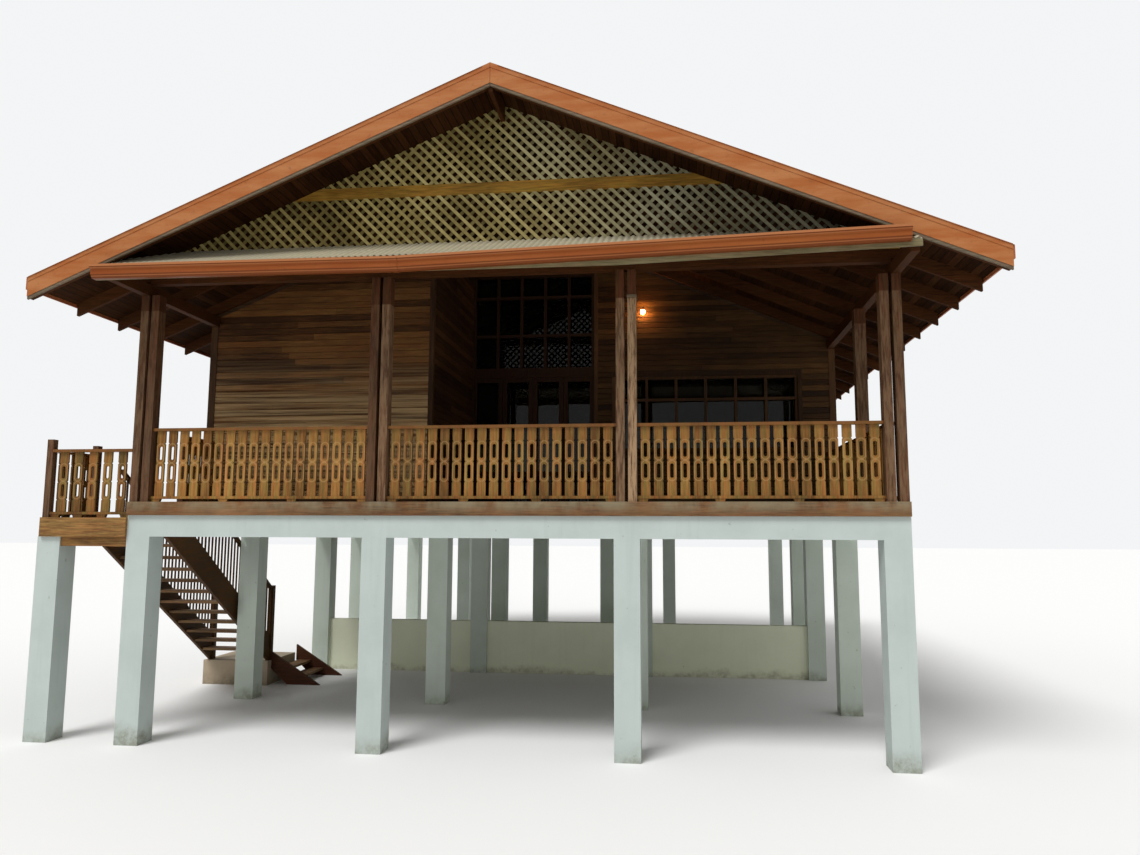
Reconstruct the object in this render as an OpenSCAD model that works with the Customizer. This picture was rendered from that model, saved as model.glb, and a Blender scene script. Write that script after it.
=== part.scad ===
// Timber house on white concrete stilts, with a front veranda and a side stair
// +X runs to the right of the front, +Y to the back and +Z up, in millimetres

/* [Post grid] */
// Distance between two columns of posts, centre to centre
bay = 3100; // [2900:20:3400]
// Distance between two rows of posts, front to front
row = 2950; // [2800:25:3100]
// Width of a square concrete post
post_w = 310; // [260:10:350]
// Length of the house from the front posts to the rear wall
house_len = 12100; // [11900:50:12600]

/* [Heights] */
// Height of the veranda floor above the ground
floor_z = 3000; // [2800:20:3300]
// Depth of the white beams
beam_h = 270; // [220:10:320]
// Depth of the board along the edge of the deck
edge_h = 170; // [150:5:200]
// Underside of the side plates
plate_z = 5700; // [5600:20:5900]
// Top of the low white wall between the posts of the third row
low_wall_h = 940; // [700:20:1200]

/* [Roof] */
// Pitch of the main roof in degrees
roof_pitch = 22.9; // [21:0.1:25]
// Overhang past the side walls
eave_out = 945; // [800:5:1100]
// Overhang past the front posts, up to the bargeboards
gable_out = 850; // [800:10:950]
// Depth of the bargeboards
barge_h = 218; // [180:2:260]
// Distance between rafters
rafter_gap = 850; // [840:5:855]

/* [Walls] */
// Thickness of the walls
wall_t = 120; // [100:5:140]
// Front face of the left front room
front_wall_y = 1800; // [1790:2:1805]
// Front face of the recessed wall behind the veranda
recess_y = 4350; // [4340:2:4360]
// Right face of the left front room
recess_x = -1380; // [-1420:10:-1350]

/* [Railings] */
// Height of the handrail above the floor
rail_h = 945; // [850:5:1050]
// Width of a railing board
rail_board_w = 112; // [100:1:118]
// Width of the space between two boards
rail_board_gap = 45; // [35:1:55]

/* [Lattice] */
// Width of a lattice strip
strip_w = 40; // [36:1:50]
// Distance between two strips, centre to centre
strip_pitch = 97; // [88:1:110]

/* [Stair] */
// Height of one riser of the stair
riser = 180; // [170:1:190]
// Depth of one step of the stair
going = 265; // [250:5:285]

/* [Hidden] */

// Colours
WHITE = "gainsboro";
TIMBER = "sienna";
DARK_TIMBER = "saddlebrown";
HONEY_TIMBER = "peru";
OLIVE_TIMBER = "darkkhaki";
TERRACOTTA = "indianred";
BEIGE = "tan";
GLASS = "lightblue";

// Plan of the concrete frame
column_x = [-1.5 * bay, -0.5 * bay, 0.5 * bay, 1.5 * bay];
half_w = 1.5 * bay + post_w / 2;
rear_row_y = house_len - post_w;
fourth_row_y = 7750;
fourth_row_x = [-1.5 * bay, -0.5 * bay, 1.5 * bay];
free_posts = [[750, fourth_row_y], [-850, 8900]];
rear_row_x = [-1.5 * bay, -3300, 2000, 1.5 * bay];
beam_top = floor_z - edge_h;
beam_z = beam_top - beam_h;
beam_w = 250;
low_wall_t = 150;

// Floor
board_t = 40;
board_joint = 2;
joist_w = 60;
joist_count = 22;

// Landing beside the deck, one step below it
landing_z = floor_z - 200;
landing_len = 970;
landing_w = 1145;
landing_x = -half_w - landing_w;
landing_board_h = 245;
landing_beam_h = 120;
landing_post_h = landing_z - landing_board_h;
landing_post_x = landing_x - 80;
landing_beam_y = 20;
landing_rail_post_h = 1010;

// Stair down to the back
stair_w = 1000;
step_count = 12;
stringer_t = 50;
stringer_up = 225;
stringer_down = 205;
stringer_lap = 60;
tread_t = 40;
tread_d = going - 15;
stair_right_x = -half_w - 45;
stair_left_x = stair_right_x - stair_w - 2 * stringer_t;
stair_slope = riser / going;
stringer_toe = 65;
stair_foot_y = landing_len + step_count * going + stringer_toe;
last_riser = 235;
pad_z = landing_z - step_count * riser - last_riser;
pad_lap = 40;
pad_y = landing_len + step_count * going - pad_lap;
pad_len = 1090;
pad_right_x = -half_w - 20;
newel_w = 90;
newel_up = 20;
picket_w = 32;
picket_t = 16;
picket_pitch = 98;
stair_rail_start = 500;
stair_rail_up = 1010;
stair_rail_h = 50;
stair_rail_w = 64;

// Short flight from the lower landing to the ground
flight_run = 880;
flight_w = 1050;
flight_y = pad_y + 140;
flight_steps = 2;
flight_plank_h = 270;
flight_heel = 290;
flight_top = pad_z + 135;
flight_going = 230;
flight_tread_d = 250;
flight_nosing = 60;

// Veranda posts and railings
veranda_post_w = 105;
veranda_post_d = 150;
veranda_post_gap = 40;
pair_w = 2 * veranda_post_w + veranda_post_gap;
pair_inset = 5;
corner_x = half_w - pair_w / 2 - pair_inset;
pair_x = [-corner_x, -bay / 2, bay / 2, corner_x];
side_post_y = front_wall_y - 150;
side_post_w = 150;
rail_board_t = 24;
handrail_w = 90;
handrail_t = 36;
foot_rail_h = 30;
foot_rail_w = 56;
foot_gap = 42;
foot_w = 130;
foot_base_w = 100;
foot_d = 44;
foot_inset = 70;
rail_mid_y = 75;
rail_lap = 4;
landing_post_side = 85;
landing_rail_x = landing_x - board_t;
corner_post_y = landing_len - 45;
corner_post_up = 60;
landing_rail_h = 880;
landing_board_w = 116;
landing_board_gap = 90;

// Roof
slope = tan(roof_pitch);
plate_h = 150;
plate_w = 100;
plate_top = plate_z + plate_h;
rafter_h = 150;
rafter_w = 50;
deck_t = 100;
rafter_v = rafter_h / cos(roof_pitch);
deck_v = deck_t / cos(roof_pitch);
roof_half = half_w + eave_out;
front_edge = -gable_out;
rear_edge = house_len + gable_out;
barge_t = 40;
gable_beam_z = plate_z + 150;
gable_beam_h = 150;
gable_beam_y = 20;
gable_beam_t = 110;
ridge_board_h = 220;
ridge_board_drop = 10;
first_rafter_y = 25;
fascia_t = 20;
fascia_h = 150;
lattice_t = 12;
sill_z = gable_beam_z + gable_beam_h;
lattice_z = 6250;
mid_board_z = 6880;
mid_board_h = 150;
lattice_centre_z = mid_board_z;
gable_t = 40;
pent_t = 40;
pent_reach = 860;
pent_drop = 430;
pent_half = half_w;
pent_edge_z = lattice_z - pent_drop;

// Gutters: two lengths that meet at a joint and sag there, on a board with a bowed lower edge
gutter_board_t = 25;
gutter_board_lap = 20;
gutter_board_drop = 200;
gutter_board_z = pent_edge_z - gutter_board_drop;
gutter_board_rise = 105;
gutter_board_bend_x = 1500;
gutter_h = 160;
gutter_back_h = 100;
gutter_d = 125;
gutter_t = 8;
gutter_joint_x = -1050;
gutter_joint_drop = 208;
gutter_joint_z = pent_edge_z - gutter_joint_drop;
gutter_right_inset = 125;
gutter_fall_left = 0.42;
gutter_fall_right = 1.59;
joiner_len = 70;
joiner_gap = 6;
joiner_grow = 4;
joiner_inset = 1;

// Openings in the walls
glazing_x = recess_x;
glazing_w = 2150;
glazing_h = 4150;
door_h = 2300;
transom_h = 130;
frame_d = 90;
frame_bar = 45;
frame_set_back = 10;
leaf_count = 4;
leaf_t = 45;
leaf_joint = 6;
leaf_set_back = 35;
leaf_stile_w = 75;
leaf_rail_z = 620;
top_light_h = 400;
window_x = 1150;
window_w = 3060;
window_sill = 1000;
window_h = 1280;
window_panes = 6;
side_window_w = 1560;
side_window_panes = 3;
glass_t = 10;
side_window_y = [6200, 9200];
rear_window_x = [-3900, 840];
lamp_x = 1620;
lamp_up = 3400;

// The ends of the model, for the place of its origin
left_end = min(landing_post_x, -roof_half - fascia_t);
right_end = roof_half + fascia_t;
x_mid = (left_end + right_end) / 2;
y_mid = house_len / 2;

function rafter_under(x) = plate_top + slope * (half_w - abs(x));
function deck_under(x) = rafter_under(x) + rafter_v;
function deck_over(x) = deck_under(x) + deck_v;
function under_reach(z) = half_w - (z - plate_top - rafter_v) / slope;

// The house is drawn with x = 0 under the ridge and y = 0 at the front posts
module house() {
    translate([-x_mid, -y_mid, 0])
        children();
}

module block(x0, x1, y0, y1, z0, z1) {
    translate([x0, y0, z0])
        cube([x1 - x0, y1 - y0, z1 - z0]);
}

// An outline in X and Z, given a thickness from y0 to y1
module upright(y0, y1) {
    translate([0, y1, 0])
        rotate([90, 0, 0])
            linear_extrude(y1 - y0)
                children();
}

// An outline in Y and Z, given a thickness from x0 to x1
module sideways(x0, x1) {
    translate([x0, 0, 0])
        rotate([90, 0, 90])
            linear_extrude(x1 - x0)
                children();
}

// Concrete frame
module post(x, y, top) {
    block(x - post_w / 2, x + post_w / 2, y, y + post_w, 0, top);
}

module posts_row(xs, y) {
    for (x = xs)
        post(x, y, beam_z);
}

module posts_row_1() {
    color(WHITE) house() posts_row(column_x, 0);
}

module posts_row_2() {
    color(WHITE) house() posts_row(column_x, row);
}

module posts_row_3() {
    color(WHITE) house() posts_row(column_x, 2 * row);
}

// The posts of the rear part stand off the grid, as the photo shows them
module posts_rear() {
    color(WHITE) house() {
        posts_row(fourth_row_x, fourth_row_y);
        posts_row(rear_row_x, rear_row_y);
        for (at = free_posts)
            post(at[0], at[1], beam_top);
    }
}

module landing_post() {
    color(WHITE) house()
        block(landing_post_x, landing_post_x + post_w, 0, post_w, 0, landing_post_h);
}

module cross_beams() {
    color(WHITE) house()
        for (y = [0, rear_row_y])
            block(-half_w, half_w, y, y + post_w, beam_z, beam_top);
}

module long_beams() {
    color(WHITE) house()
        for (x = column_x)
            block(x - beam_w / 2, x + beam_w / 2, post_w, rear_row_y, beam_z, beam_top);
}

// Low wall between the posts of the third row
module low_wall() {
    wall_y = 2 * row + (post_w - low_wall_t) / 2;
    color(WHITE) house()
        for (i = [0:2])
            block(column_x[i] + post_w / 2, column_x[i + 1] - post_w / 2,
                wall_y, wall_y + low_wall_t, 0, low_wall_h);
}

module lower_landing() {
    color("tan") house()
        block(stair_left_x - pad_lap, pad_right_x, pad_y, pad_y + pad_len, 0, pad_z);
}

// Floor
module floor_joists() {
    pitch = (house_len - 3 * joist_w) / (joist_count - 1);
    color(DARK_TIMBER) house()
        for (i = [0:joist_count - 1])
            block(-half_w + board_t, half_w - board_t,
                joist_w + i * pitch, 2 * joist_w + i * pitch,
                beam_top, floor_z - board_t);
}

module deck_floor() {
    color(TIMBER) house()
        block(-half_w, half_w, 0, house_len, floor_z - board_t, floor_z);
}

module deck_edge_boards() {
    color(TIMBER) house() {
        for (y = [-board_t, house_len])
            block(-half_w, half_w, y, y + board_t, beam_top, floor_z);
        for (x = [-half_w, half_w - board_t])
            block(x, x + board_t, board_joint, house_len - board_joint,
                beam_top, floor_z - board_t);
    }
}

module landing_deck() {
    color(TIMBER) house()
        block(landing_x, -half_w, 0, landing_len, landing_z - board_t, landing_z);
}

// Boards and beams that carry the landing
module landing_edge() {
    z0 = landing_z - landing_board_h;
    inner_x = landing_post_x + post_w;
    color(TIMBER) house() {
        block(landing_x - board_t, -half_w, -board_t, 0, z0, landing_z);
        block(landing_x - board_t, landing_x, 0, landing_len, z0, landing_z);
        block(inner_x, -half_w, landing_beam_y, landing_beam_y + 2 * board_t,
            z0 - landing_beam_h, z0);
        block(landing_x, -half_w, landing_beam_y, landing_beam_y + joist_w, z0, landing_z - board_t);
        block(landing_x, -half_w, landing_len - joist_w, landing_len, z0, landing_z - board_t);
        block(-half_w - joist_w, -half_w, landing_beam_y + joist_w, landing_len - joist_w,
            z0, landing_z - board_t);
    }
}

// Stair
function stair_line(y) = landing_z - stair_slope * (y - landing_len);

module stringer_outline() {
    top_y = landing_len;
    polygon([
        [top_y, stair_line(top_y) - stringer_down - stringer_lap],
        [top_y, landing_z - board_t],
        [top_y + stringer_lap, landing_z - board_t],
        [top_y + (stringer_up + board_t) / stair_slope, landing_z - board_t],
        [stair_foot_y, stair_line(stair_foot_y) + stringer_up],
        [stair_foot_y, pad_z],
        [landing_len + (landing_z - stringer_down - pad_z) / stair_slope, pad_z]
    ]);
}

module stair_stringers() {
    color(DARK_TIMBER) house()
        for (x = [stair_left_x, stair_right_x - stringer_t])
            sideways(x, x + stringer_t)
                stringer_outline();
}

module stair_treads() {
    color(TIMBER) house()
        for (i = [1:step_count])
            block(stair_left_x + stringer_t, stair_right_x - stringer_t,
                landing_len + i * going - tread_d, landing_len + i * going,
                landing_z - i * riser - tread_t, landing_z - i * riser);
}

module flight_plank_outline() {
    polygon([
        [pad_right_x, flight_top],
        [pad_right_x + flight_run, 0],
        [pad_right_x + flight_heel, 0],
        [pad_right_x, flight_top - flight_plank_h]
    ]);
}

module short_flight_stringers() {
    color(TIMBER) house()
        for (y = [flight_y, flight_y + flight_w - stringer_t])
            upright(y, y + stringer_t)
                flight_plank_outline();
}

module short_flight_treads() {
    rise = pad_z / (flight_steps + 1);
    color(TIMBER) house()
        for (i = [1:flight_steps])
            block(pad_right_x + i * flight_going + flight_nosing - flight_tread_d,
                pad_right_x + i * flight_going + flight_nosing,
                flight_y + stringer_t, flight_y + flight_w - stringer_t,
                pad_z - i * rise - tread_t, pad_z - i * rise);
}

// One ornamental board of a railing: two slots and three pairs of notches
module rail_board(height, width = rail_board_w) {
    notch = 17;
    slot_w = width * 0.39;
    slot_h = height * 0.2;
    low = height * 0.236;
    mid = height * 0.524;
    high = height * 0.814;
    difference() {
        translate([-width / 2, 0])
            square([width, height]);
        for (z = [low, mid, high], side = [-1, 1])
            translate([side * width / 2, z])
                rotate(45)
                    square(notch, center = true);
        for (z = [(low + mid) / 2, (mid + high) / 2])
            translate([0, z])
                slot(slot_w, slot_h);
    }
}

// A slot with blunt ends
module slot(w, h) {
    c = w * 0.3;
    polygon([
        [-w / 2, -h / 2 + c], [-w / 2 + c, -h / 2], [w / 2 - c, -h / 2], [w / 2, -h / 2 + c],
        [w / 2, h / 2 - c], [w / 2 - c, h / 2], [-w / 2 + c, h / 2], [-w / 2, h / 2 - c]
    ]);
}

// A railing panel along X, from 0 to its length, with its mid plane at y = 0
module rail_panel(length, height = rail_h, board_w = rail_board_w, gap = rail_board_gap) {
    count = round((length - gap) / (board_w + gap));
    pitch = (length - gap) / count;
    board_h = height - foot_gap - handrail_t;
    translate([0, 0, foot_gap])
        upright(-rail_board_t / 2, rail_board_t / 2)
            for (i = [0:count - 1])
                translate([gap / 2 + (i + 0.5) * pitch, 0])
                    rail_board(board_h + rail_lap, board_w);
    block(0, length, -handrail_w / 2, handrail_w / 2, height - handrail_t, height);
    block(0, length, -foot_rail_w / 2, foot_rail_w / 2, foot_gap - rail_lap, foot_gap + foot_rail_h);
    for (i = [0:3])
        rail_foot(foot_inset + (length - 2 * foot_inset) * i / 3);
}

// Low tapered block that carries the foot rail
module rail_foot(x) {
    translate([x, 0, 0])
        upright(-foot_d / 2, foot_d / 2)
            polygon([
                [-foot_base_w / 2, 0], [foot_base_w / 2, 0],
                [foot_w / 2, foot_gap - rail_lap], [-foot_w / 2, foot_gap - rail_lap]
            ]);
}

module front_rail(i) {
    start = pair_x[i] + pair_w / 2;
    color(HONEY_TIMBER) house()
        translate([start, rail_mid_y, floor_z])
            rail_panel(pair_x[i + 1] - pair_w / 2 - start);
}

module railing_front_left() {
    front_rail(0);
}

module railing_front_middle() {
    front_rail(1);
}

module railing_front_right() {
    front_rail(2);
}

// Turns a panel along Y and sets it at x
module rail_along(x, y0, y1, z) {
    translate([x, y0, z])
        rotate([0, 0, 90])
            rail_panel(y1 - y0);
}

module railing_sides() {
    color(HONEY_TIMBER) house() {
        rail_along(corner_x, veranda_post_d, side_post_y, floor_z);
        rail_along(corner_x, side_post_y + side_post_w, recess_y, floor_z);
        rail_along(-corner_x, corner_post_y + landing_post_side, front_wall_y, floor_z);
    }
}

module landing_railing() {
    color(HONEY_TIMBER) house() {
        translate([landing_rail_x + landing_post_side, landing_post_side / 2, landing_z])
            rail_panel(-corner_x - pair_w / 2 - landing_rail_x - landing_post_side,
                landing_rail_h, landing_board_w, landing_board_gap);
        translate([landing_rail_x + landing_post_side / 2, landing_post_side, landing_z])
            rotate([0, 0, 90])
                rail_panel(landing_len - 2 * landing_post_side,
                    landing_rail_h, landing_board_w, landing_board_gap);
    }
}

// A balustrade beside the stair: thin pickets under a sloping handrail that ends at a newel
module stair_railing(x) {
    y0 = landing_len + stair_rail_start;
    y1 = stair_foot_y;
    count = round((y1 - y0) / picket_pitch);
    pitch = (y1 - y0) / count;
    sideways(x - picket_t / 2, x + picket_t / 2)
        for (i = [0:count - 1])
            picket(y0 + (i + 0.5) * pitch);
    sideways(x - stair_rail_w / 2, x + stair_rail_w / 2)
        polygon([
            [y0, stair_line(y0) + stair_rail_up],
            [y1 + newel_w / 2, stair_line(y1 + newel_w / 2) + stair_rail_up],
            [y1 + newel_w / 2, stair_line(y1 + newel_w / 2) + stair_rail_up + stair_rail_h],
            [y0, stair_line(y0) + stair_rail_up + stair_rail_h]
        ]);
    block(x - newel_w / 2, x + newel_w / 2, y1, y1 + newel_w,
        pad_z, stair_line(y1) + stair_rail_up + stair_rail_h + newel_up);
}

// An upright lath cut to the slope of the stair, from the stringer up into the handrail
module picket(y) {
    low = stair_line(y) + stringer_up;
    high = stair_line(y) + stair_rail_up + stair_rail_h / 2;
    skew = picket_w / 2 * stair_slope;
    polygon([
        [y - picket_w / 2, low + skew], [y + picket_w / 2, low - skew],
        [y + picket_w / 2, high - skew], [y - picket_w / 2, high + skew]
    ]);
}

module stair_railing_left() {
    color(DARK_TIMBER) house() stair_railing(stair_left_x + stringer_t / 2);
}

module stair_railing_right() {
    color(DARK_TIMBER) house() stair_railing(stair_right_x - stringer_t / 2);
}

// Pairs of posts along the front of the veranda
module veranda_posts() {
    color(DARK_TIMBER) house()
        for (i = [0:3], side = [-1, 1]) {
            x = pair_x[i] + side * (veranda_post_gap + veranda_post_w) / 2;
            top = (i == 0 || i == 3) ? plate_z : gable_beam_z;
            block(x - veranda_post_w / 2, x + veranda_post_w / 2, 0, veranda_post_d,
                floor_z, top);
        }
}

// Single posts at the right side of the veranda and round the landing
module side_posts() {
    color(DARK_TIMBER) house() {
        block(corner_x - side_post_w / 2, corner_x + side_post_w / 2,
            side_post_y, side_post_y + side_post_w, floor_z, plate_z);
        block(-corner_x - landing_post_side / 2, -corner_x + landing_post_side / 2,
            corner_post_y, corner_post_y + landing_post_side,
            floor_z, floor_z + rail_h + corner_post_up);
        for (y = [0, landing_len - landing_post_side])
            block(landing_rail_x, landing_rail_x + landing_post_side, y, y + landing_post_side,
                landing_z, landing_z + landing_rail_post_h);
    }
}

// Plates along the sides, on the posts and walls
module side_plates() {
    color(DARK_TIMBER) house()
        for (x = [-half_w, half_w - plate_w])
            block(x, x + plate_w, front_edge + barge_t, rear_edge - barge_t,
                plate_z, plate_top);
}

// Beam over the front posts, with its ends cut to the slope of the roof
module front_beam() {
    inner = half_w - plate_w;
    top_x = half_w - (sill_z - plate_top) / slope;
    color(DARK_TIMBER) house()
        upright(gable_beam_y, gable_beam_y + gable_beam_t)
            polygon([
                [-inner, gable_beam_z], [inner, gable_beam_z], [inner, rafter_under(inner)],
                [top_x, sill_z], [-top_x, sill_z], [-inner, rafter_under(inner)]
            ]);
}

// Walls
module under_roof(x0, x1) {
    difference() {
        polygon([
            [x0, floor_z], [x1, floor_z], [x1, deck_under(x1)],
            if (x0 * x1 < 0) [0, deck_under(0)],
            [x0, deck_under(x0)]
        ]);
        for (x = [-half_w, half_w - plate_w])
            translate([x, plate_z])
                square([plate_w, plate_h]);
        translate([-rafter_w / 2, deck_under(0) - ridge_board_h - ridge_board_drop])
            square([rafter_w, ridge_board_h + 2 * ridge_board_drop]);
    }
}

module front_wall() {
    color(TIMBER) house()
        upright(front_wall_y, front_wall_y + wall_t)
            under_roof(-half_w, recess_x);
}

module recess_side_wall() {
    color(TIMBER) house()
        block(recess_x - wall_t, recess_x, front_wall_y + wall_t, recess_y + wall_t,
            floor_z, rafter_under(recess_x - wall_t));
}

module recess_wall() {
    color(TIMBER) house()
        upright(recess_y, recess_y + wall_t)
            difference() {
                under_roof(recess_x, half_w);
                translate([glazing_x, floor_z])
                    square([glazing_w, glazing_h]);
                translate([window_x, floor_z + window_sill])
                    square([window_w, window_h]);
            }
}

module side_wall(x, y0) {
    sideways(x, x + wall_t)
        difference() {
            translate([y0, floor_z])
                square([house_len - wall_t - y0, plate_z - floor_z]);
            for (y = side_window_y)
                translate([y, floor_z + window_sill])
                    square([side_window_w, window_h]);
        }
}

module left_wall() {
    color(TIMBER) house() side_wall(-half_w, front_wall_y + wall_t);
}

module right_wall() {
    color(TIMBER) house() side_wall(half_w - wall_t, recess_y + wall_t);
}

module rear_wall() {
    color(TIMBER) house()
        upright(house_len - wall_t, house_len)
            difference() {
                under_roof(-half_w, half_w);
                for (x = rear_window_x)
                    translate([x, floor_z + window_sill])
                        square([window_w, window_h]);
            }
}

// A frame with upright bars and one rail, in the plane of a wall
module grid_frame(w, h, panes, rails, bar) {
    difference() {
        square([w, h]);
        for (i = [0:panes - 1], j = [0:len(rails)]) {
            x0 = bar + i * (w - bar) / panes;
            x1 = (i + 1) * (w - bar) / panes;
            z0 = j == 0 ? bar : rails[j - 1] + bar / 2;
            z1 = j == len(rails) ? h - bar : rails[j] - bar / 2;
            translate([x0, z0])
                square([x1 - x0, z1 - z0]);
        }
    }
}

module door_leaves() {
    leaf_w = glazing_w / leaf_count;
    color(DARK_TIMBER) house()
        for (i = [0:leaf_count - 1])
            upright(recess_y + leaf_set_back, recess_y + leaf_set_back + leaf_t)
                translate([glazing_x + i * leaf_w + leaf_joint / 2, floor_z])
                    grid_frame(leaf_w - leaf_joint, door_h, 1, [leaf_rail_z], leaf_stile_w);
}

// The lights above the doors, on a deep transom
module glazing_frame() {
    upper_h = glazing_h - door_h - transom_h;
    color(TIMBER) house()
        upright(recess_y + frame_set_back, recess_y + frame_set_back + frame_d)
            translate([glazing_x, floor_z + door_h]) {
                square([glazing_w, transom_h + frame_bar]);
                translate([0, transom_h])
                    grid_frame(glazing_w, upper_h, 5, [upper_h * 0.36, upper_h * 0.76], frame_bar);
            }
}

module window_at(w, panes) {
    upright(-frame_d / 2, frame_d / 2)
        grid_frame(w, window_h, panes, [window_h - top_light_h], frame_bar);
}

// Calls its child once at the lower corner of every window
module window_places() {
    z = floor_z + window_sill;
    translate([window_x, recess_y + wall_t / 2, z])
        children(0);
    for (x = rear_window_x)
        translate([x, house_len - wall_t / 2, z])
            mirror([0, 1, 0])
                children(0);
    for (side = [0, 1], y = side_window_y)
        mirror([side, 0, 0])
            translate([half_w - wall_t / 2, y, z])
                rotate([0, 0, 90])
                    children(1);
}

module window_frames() {
    color(TIMBER) house()
        window_places() {
            window_at(window_w, window_panes);
            window_at(side_window_w, side_window_panes);
        }
}

// One sheet of glass closes each window and each storey of the glazing
module window_glass() {
    color(GLASS) house() {
        window_places() {
            block(0, window_w, frame_d / 2, frame_d / 2 + glass_t, 0, window_h);
            block(0, side_window_w, frame_d / 2, frame_d / 2 + glass_t, 0, window_h);
        }
        block(glazing_x, glazing_x + glazing_w, recess_y + frame_set_back + frame_d,
            recess_y + frame_set_back + frame_d + glass_t, floor_z, floor_z + glazing_h);
    }
}

// Roof
module rafter_outline() {
    polygon([
        [rafter_w / 2, rafter_under(rafter_w / 2)],
        [roof_half - fascia_t, rafter_under(roof_half - fascia_t)],
        [roof_half - fascia_t, deck_under(roof_half - fascia_t)],
        [rafter_w / 2, deck_under(rafter_w / 2)]
    ]);
}

function rafter_y() = concat(
    [front_edge + barge_t],
    [for (y = [first_rafter_y:rafter_gap:house_len - wall_t - rafter_w]) y],
    [rear_edge - barge_t - rafter_w]
);

module rafters(side) {
    color(DARK_TIMBER) house()
        mirror([side < 0 ? 1 : 0, 0, 0])
            for (y = rafter_y())
                upright(y, y + rafter_w)
                    rafter_outline();
}

module rafters_left() {
    rafters(-1);
}

module rafters_right() {
    rafters(1);
}

module ridge_board() {
    color(DARK_TIMBER) house()
        block(-rafter_w / 2, rafter_w / 2, front_edge + barge_t, rear_edge - barge_t,
            deck_under(0) - ridge_board_h, deck_under(0) - ridge_board_drop);
}

module roof_slope(side) {
    color(TERRACOTTA) house()
        mirror([side < 0 ? 1 : 0, 0, 0])
            upright(front_edge + barge_t, rear_edge - barge_t)
                polygon([
                    [0, deck_under(0)], [roof_half, deck_under(roof_half)],
                    [roof_half, deck_over(roof_half)], [0, deck_over(0)]
                ]);
}

module roof_left() {
    roof_slope(-1);
}

module roof_right() {
    roof_slope(1);
}

module ridge_cap() {
    reach = 180;
    cap_t = 14;
    color(TERRACOTTA) house()
        upright(front_edge, rear_edge)
            polygon([
                [-reach, deck_over(reach)], [0, deck_over(0)], [reach, deck_over(reach)],
                [reach, deck_over(reach) + cap_t], [0, deck_over(0) + cap_t],
                [-reach, deck_over(reach) + cap_t]
            ]);
}

module bargeboards() {
    barge_v = barge_h / cos(roof_pitch);
    color(TERRACOTTA) house()
        for (y = [front_edge, rear_edge - barge_t], side = [0, 1])
            mirror([side, 0, 0])
                upright(y, y + barge_t)
                    polygon([
                        [board_joint, deck_over(board_joint)],
                        [roof_half, deck_over(roof_half)],
                        [roof_half, deck_over(roof_half) - barge_v],
                        [board_joint, deck_over(board_joint) - barge_v]
                    ]);
}

module eave_fascias() {
    color(TERRACOTTA) house()
        for (x = [-roof_half - fascia_t, roof_half])
            block(x, x + fascia_t, front_edge, rear_edge,
                deck_over(roof_half) - fascia_h, deck_over(roof_half));
}

// Small sloping roof across the foot of a gable, drawn for the front
module pent_roof() {
    spare = 10;
    intersection() {
        sideways(-pent_half, pent_half)
            polygon([
                [-gable_t, lattice_z], [-gable_t, lattice_z - pent_t],
                [-gable_t - pent_reach, pent_edge_z - pent_t],
                [-gable_t - pent_reach, pent_edge_z]
            ]);
        upright(-gable_t - pent_reach - spare, 0)
            polygon([
                [-pent_half - spare, pent_edge_z - pent_t - spare],
                [pent_half + spare, pent_edge_z - pent_t - spare],
                [pent_half + spare, deck_under(pent_half + spare)],
                [under_reach(lattice_z + spare), lattice_z + spare],
                [-under_reach(lattice_z + spare), lattice_z + spare],
                [-pent_half - spare, deck_under(pent_half + spare)]
            ]);
    }
}

// Draws its children at the front gable and mirrored at the rear one
module both_gables() {
    children();
    translate([0, house_len, 0])
        mirror([0, 1, 0])
            children();
}

module pent_roofs() {
    color(BEIGE) house()
        both_gables() pent_roof();
}

// Board along the foot of a small roof, with the gutter on its front face
module gutter_board() {
    front = -gable_t - pent_reach - gutter_board_t;
    upright(front, front + gutter_board_t)
        polygon([
            [-pent_half, gutter_board_z + gutter_board_lap], [gutter_board_bend_x, gutter_board_z],
            [pent_half, gutter_board_z + gutter_board_rise],
            [pent_half, pent_edge_z - gutter_board_lap], [-pent_half, pent_edge_z - gutter_board_lap]
        ]);
}

module gutter_boards() {
    color(BEIGE) house()
        both_gables() gutter_board();
}

// Moulded trough with a low back; grow sets it a little outside, for the joiner
module gutter_outline(grow = 0) {
    d = gutter_d + grow;
    h = gutter_h - grow;
    t = gutter_t + grow / 2;
    back = gutter_back_h - grow;
    polygon([
        [0, back], [0, -grow], [-d * 0.45, -grow], [-d * 0.75, h * 0.3],
        [-d * 0.75, h * 0.62], [-d, h * 0.8], [-d, h], [-d + t, h], [-d + t, h * 0.8 + t * 0.4],
        [-d * 0.75 + t, h * 0.62 + t * 0.6], [-d * 0.75 + t, h * 0.3 + t * 0.3],
        [-d * 0.45 - t * 0.3 + t, t - grow], [-t, t - grow], [-t, back]
    ]);
}

// The same trough filled in, for the ends
module gutter_end_outline() {
    d = gutter_d;
    h = gutter_h;
    polygon([
        [0, gutter_back_h], [0, 0], [-d * 0.45, 0], [-d * 0.75, h * 0.3],
        [-d * 0.75, h * 0.62], [-d, h * 0.8], [-d, h]
    ]);
}

// One length of gutter that starts inside the joiner, with its far end closed
module gutter_length(length) {
    sideways(joiner_gap, length)
        gutter_outline();
    sideways(length - gutter_t, length)
        gutter_end_outline();
}

module gutter() {
    translate([gutter_joint_x, -gable_t - pent_reach - gutter_board_t, gutter_joint_z]) {
        rotate([0, -gutter_fall_right, 0])
            gutter_length(pent_half - gutter_right_inset - gutter_joint_x);
        mirror([1, 0, 0])
            rotate([0, -gutter_fall_left, 0])
                gutter_length(pent_half + gutter_joint_x);
        translate([0, -joiner_inset, 0])
            sideways(-joiner_len / 2, joiner_len / 2)
                gutter_outline(joiner_grow);
    }
}

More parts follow.
